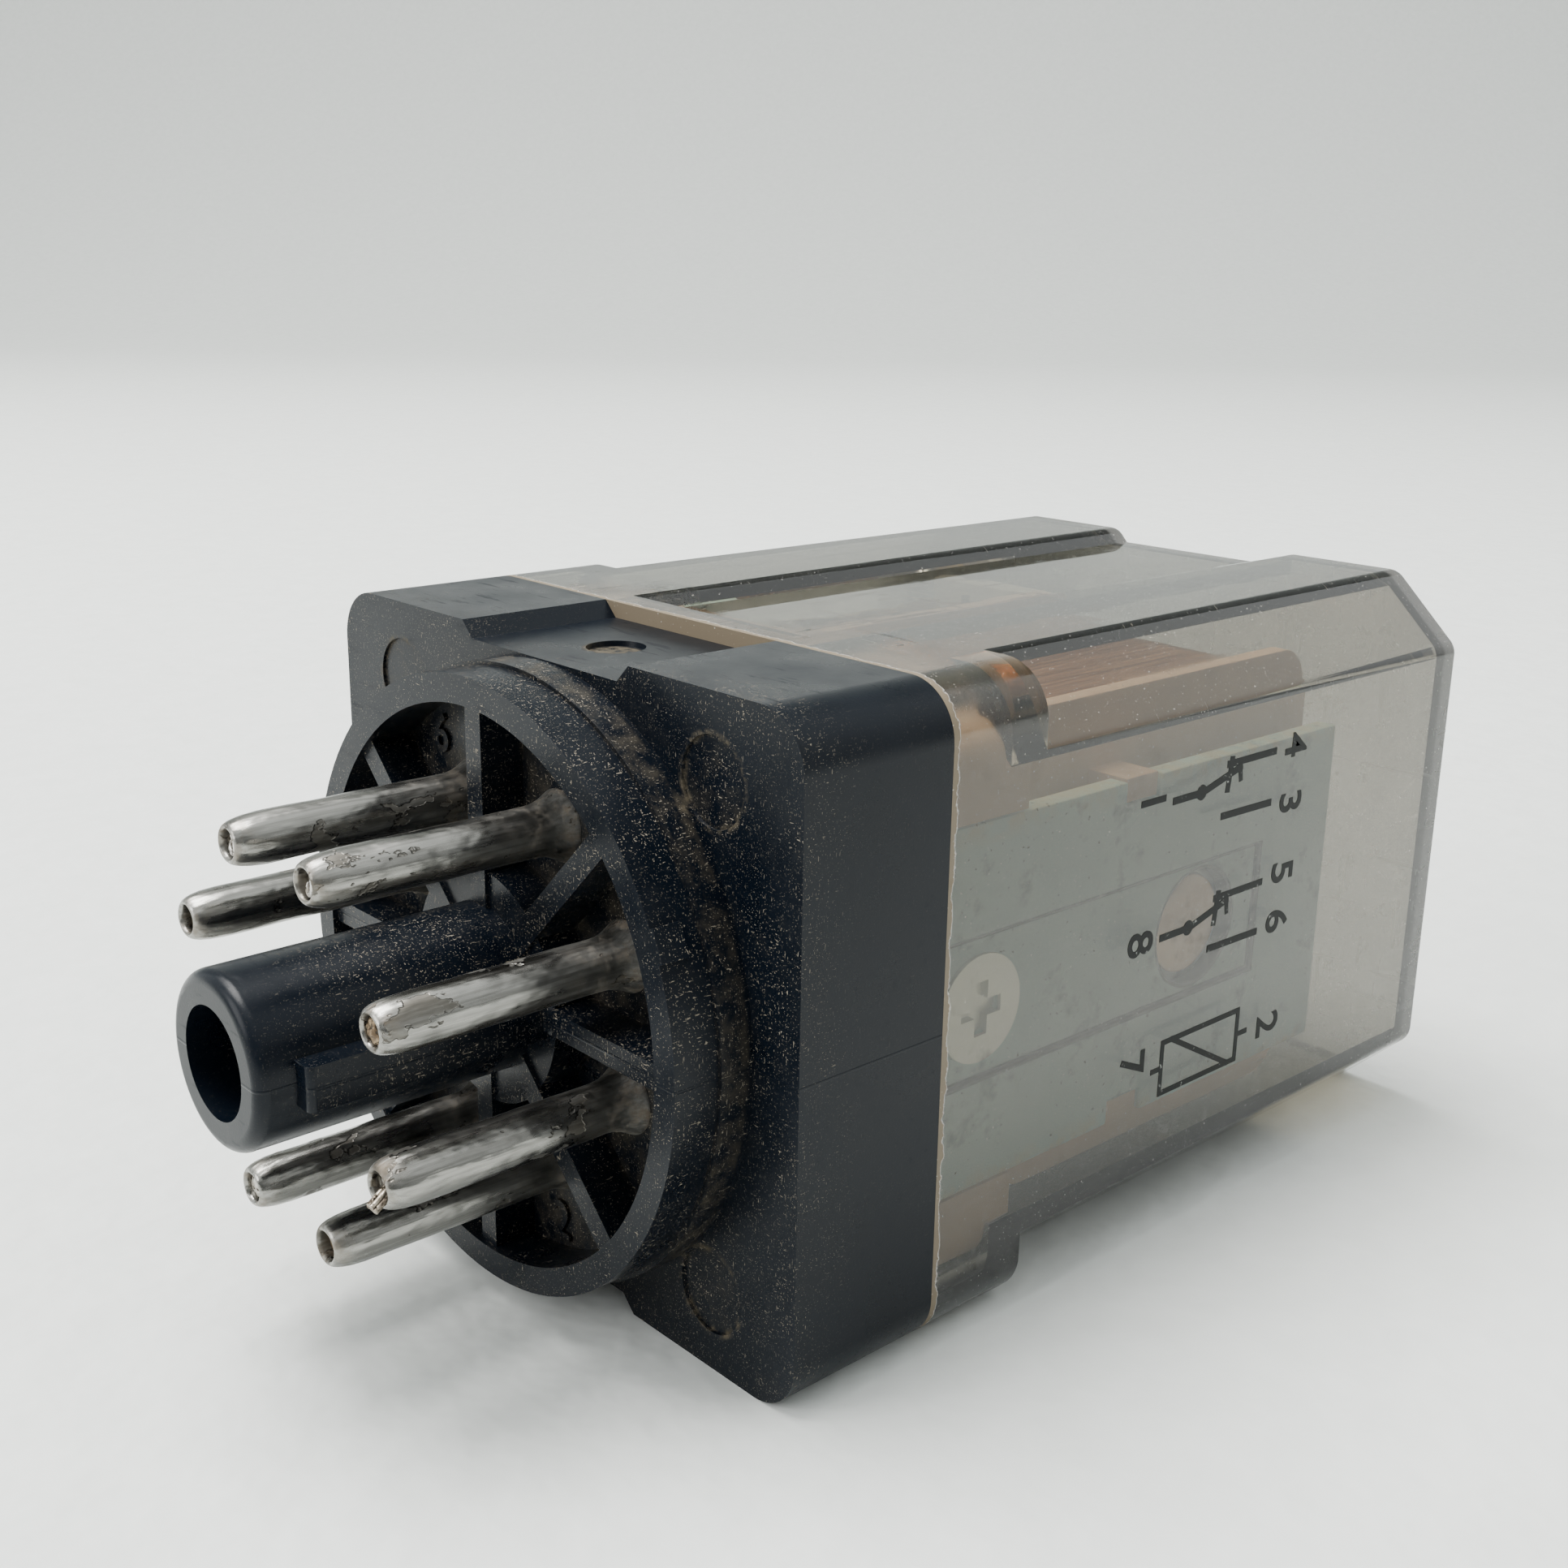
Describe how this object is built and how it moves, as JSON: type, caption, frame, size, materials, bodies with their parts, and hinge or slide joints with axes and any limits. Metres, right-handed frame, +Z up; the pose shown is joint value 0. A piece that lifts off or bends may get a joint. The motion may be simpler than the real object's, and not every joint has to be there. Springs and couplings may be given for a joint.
{
  "type": "plug-in relay",
  "caption": "Plug-in relay with round pins round a keyed spigot, black base, clear cover over coil, armature and changeover contacts.",
  "frame": {"origin": "centre of the ring face of the base's round boss, on the plug axis", "axes": "+X from the pins to the far end of the cover, -Y the side the spigot's key points to, +Z up with the relay lying on its side"},
  "size_m": [0.0663, 0.035, 0.031],
  "materials": {
    "black_plastic": "satin, almost black with a blue cast",
    "clear_plastic": "clear, faintly smoked, gloss",
    "tinned_brass": "dull tinned tube with scratches and brown oxide",
    "solder": "dull soft solder",
    "tinned_copper": "tinned wire",
    "beige_plastic": "satin pinkish beige",
    "mint_plastic": "satin pale mint green",
    "zinc_steel": "zinc plated",
    "soft_iron": "dull iron",
    "copper_wire": "enamelled copper wire",
    "post_brass": "satin",
    "card_plastic": "satin off-white",
    "strip_brass": "satin rolled strip",
    "spring_bronze": "satin spring strip",
    "silver": "dull silver"
  },
  "bodies": {
    "body": {"base": "black_plastic", "spigot": "black_plastic", "cover": "clear_plastic", "pin_1": "tinned_brass", "pin_2": "tinned_brass", "pin_3": "tinned_brass", "pin_4": "tinned_brass", "pin_5": "tinned_brass", "pin_6": "tinned_brass", "pin_7": "tinned_brass", "pin_8": "tinned_brass", "solder_joints": "solder", "lead_1": "tinned_copper", "lead_2": "tinned_copper", "lead_3": "tinned_copper", "lead_4": "tinned_copper", "lead_5": "tinned_copper", "lead_6": "tinned_copper", "lead_7": "tinned_copper", "lead_8": "tinned_copper", "tray": "beige_plastic", "bobbin": "beige_plastic", "front_panel": "mint_plastic", "contact_holder": "mint_plastic", "panel_screw": "zinc_steel", "yoke": "zinc_steel", "core": "soft_iron", "winding": "copper_wire", "coil_posts": "post_brass", "open_strip_a": "strip_brass", "open_strip_b": "strip_brass", "closed_strip_a": "strip_brass", "closed_strip_b": "strip_brass", "common_strip_a": "strip_brass", "common_strip_b": "strip_brass", "fixed_contacts": "silver"},
    "armature": {"armature": "zinc_steel", "pusher_card": "card_plastic"},
    "blade_a": {"moving_blade_a": "spring_bronze", "moving_contact_a": "silver"},
    "blade_b": {"moving_blade_b": "spring_bronze", "moving_contact_b": "silver"}
  },
  "joints": [
    {"name": "armature_swing", "type": "hinge", "parent": "body", "child": "armature", "pos_m": [0.0189, 0.00404, 0], "axis": [0, 0, -1], "range_deg": [0, 3], "stiffness_Nm_per_rad": 0.02, "springref_deg": -5.73},
    {"name": "blade_a_swing", "type": "hinge", "parent": "body", "child": "blade_a", "pos_m": [0.025, 0.01117, -0.0075], "axis": [0, 0, -1], "range_deg": [0, 3.92]},
    {"name": "blade_b_swing", "type": "hinge", "parent": "body", "child": "blade_b", "pos_m": [0.025, 0.01117, 0.0075], "axis": [0, 0, -1], "range_deg": [0, 3.92]}
  ],
  "couplings": [
    {"joint": "blade_a_swing", "follows": "armature_swing", "ratio": 1.302},
    {"joint": "blade_b_swing", "follows": "armature_swing", "ratio": 1.302}
  ]
}
